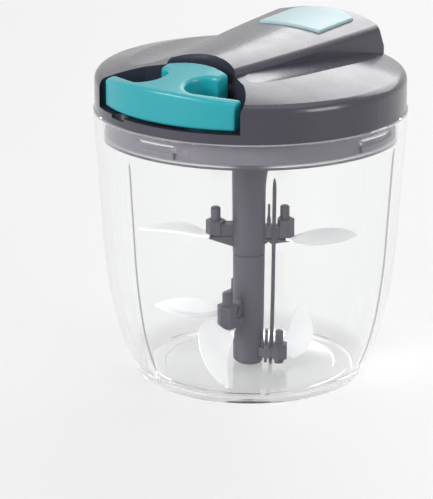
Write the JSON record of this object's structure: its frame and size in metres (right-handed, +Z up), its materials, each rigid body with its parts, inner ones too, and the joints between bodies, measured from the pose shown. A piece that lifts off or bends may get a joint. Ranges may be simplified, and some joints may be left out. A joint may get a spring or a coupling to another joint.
{
  "type": "pull-cord food chopper",
  "caption": "Hand chopper: a clear ribbed bowl, a domed grey lid with a teal pull-cord handle and a vent button, and a removable shaft with curved steel blades.",
  "frame": {"origin": "centre of the bowl's foot, on the table", "axes": "+Z up along the blade shaft, -Y towards the pull handle, +X to the right seen from the handle"},
  "size_m": [0.12, 0.12, 0.1344],
  "materials": {
    "clear_bowl": "clear, polished",
    "clear_silicone": "matt, translucent",
    "cover_grey": "satin",
    "inner_grey": "satin",
    "hub_grey": "satin",
    "handle_teal": "gloss",
    "button_mint": "gloss",
    "white_plastic": "satin",
    "cord": "braided",
    "blade_steel": "polished",
    "spring_steel": "rolled",
    "screw_steel": "turned"
  },
  "bodies": {
    "bowl": {"bowl": "clear_bowl", "bowl_pivot_pin": "screw_steel"},
    "seal_ring": {"lid_seal": "clear_silicone"},
    "lid": {"lid_cover": "cover_grey", "lid_base": "inner_grey", "lid_screws": "screw_steel", "cord_guide": "white_plastic", "spool_screw": "screw_steel", "spool_washer": "screw_steel", "recoil_spring": "spring_steel", "pull_cord": "cord", "button_spring": "spring_steel"},
    "handle": {"pull_handle": "handle_teal", "cord_knot": "cord"},
    "spool": {"cord_spool": "white_plastic", "spring_cover": "white_plastic", "cord_winding": "cord"},
    "drive": {"drive_socket": "white_plastic", "pawl_springs": "spring_steel"},
    "pawl_front": {"clutch_pawl_front": "inner_grey"},
    "pawl_rear": {"clutch_pawl_rear": "inner_grey"},
    "button": {"release_button": "button_mint", "vent_plug": "clear_silicone"},
    "blade_unit": {"upper_hub": "hub_grey", "lower_hub": "hub_grey", "pivot_bush": "white_plastic", "upper_blade_left": "blade_steel", "upper_blade_right": "blade_steel", "lower_blade_front": "blade_steel", "lower_blade_left": "blade_steel", "lower_blade_right": "blade_steel", "upper_blade_posts": "hub_grey", "lower_blade_posts": "hub_grey"}
  },
  "joints": [
    {"name": "lid_lift", "type": "slide", "parent": "bowl", "child": "seal_ring", "axis": [0, 0, 1], "range_m": [0, 0.24]},
    {"name": "lid_twist", "type": "hinge", "parent": "seal_ring", "child": "lid", "pos_m": [0, 0, 0.1], "axis": [0, 0, 1], "range_deg": [0, 20]},
    {"name": "handle_pull", "type": "slide", "parent": "lid", "child": "handle", "axis": [0, -1, 0], "range_m": [0, 0.5], "stiffness_N_per_m": 10, "springref_m": -0.2, "deforming": ["pull_cord"]},
    {"name": "spool_spin", "type": "hinge", "parent": "lid", "child": "spool", "pos_m": [0, 0, 0.115], "axis": [0, 0, 1], "range_deg": [0, 1444], "deforming": ["recoil_spring"]},
    {"name": "drive_spin", "type": "hinge", "parent": "lid", "child": "drive", "pos_m": [0, 0, 0.1], "axis": [0, 0, 1], "range_deg": [0, 1444]},
    {"name": "pawl_front_swing", "type": "hinge", "parent": "drive", "child": "pawl_front", "pos_m": [0.00668, 0.00797, 0.1058], "axis": [0, 0, -1], "range_deg": [0, 12], "stiffness_Nm_per_rad": 0.002, "springref_deg": -11.46, "deforming": ["pawl_springs"]},
    {"name": "pawl_rear_swing", "type": "hinge", "parent": "drive", "child": "pawl_rear", "pos_m": [-0.00668, -0.00797, 0.1058], "axis": [0, 0, -1], "range_deg": [0, 12], "stiffness_Nm_per_rad": 0.002, "springref_deg": -11.46},
    {"name": "blade_lift", "type": "slide", "parent": "drive", "child": "blade_unit", "axis": [0, 0, 1], "range_m": [-0.12, 0]},
    {"name": "button_press", "type": "slide", "parent": "lid", "child": "button", "axis": [0, 0, -1], "range_m": [0, 0.0016], "stiffness_N_per_m": 400, "springref_m": -0.002, "deforming": ["button_spring"]}
  ],
  "couplings": [
    {"joint": "spool_spin", "follows": "handle_pull", "rad_per_m": 50.378},
    {"joint": "drive_spin", "follows": "handle_pull", "rad_per_m": 50.378},
    {"joint": "blade_lift", "follows": "lid_lift", "ratio": -0.5}
  ]
}
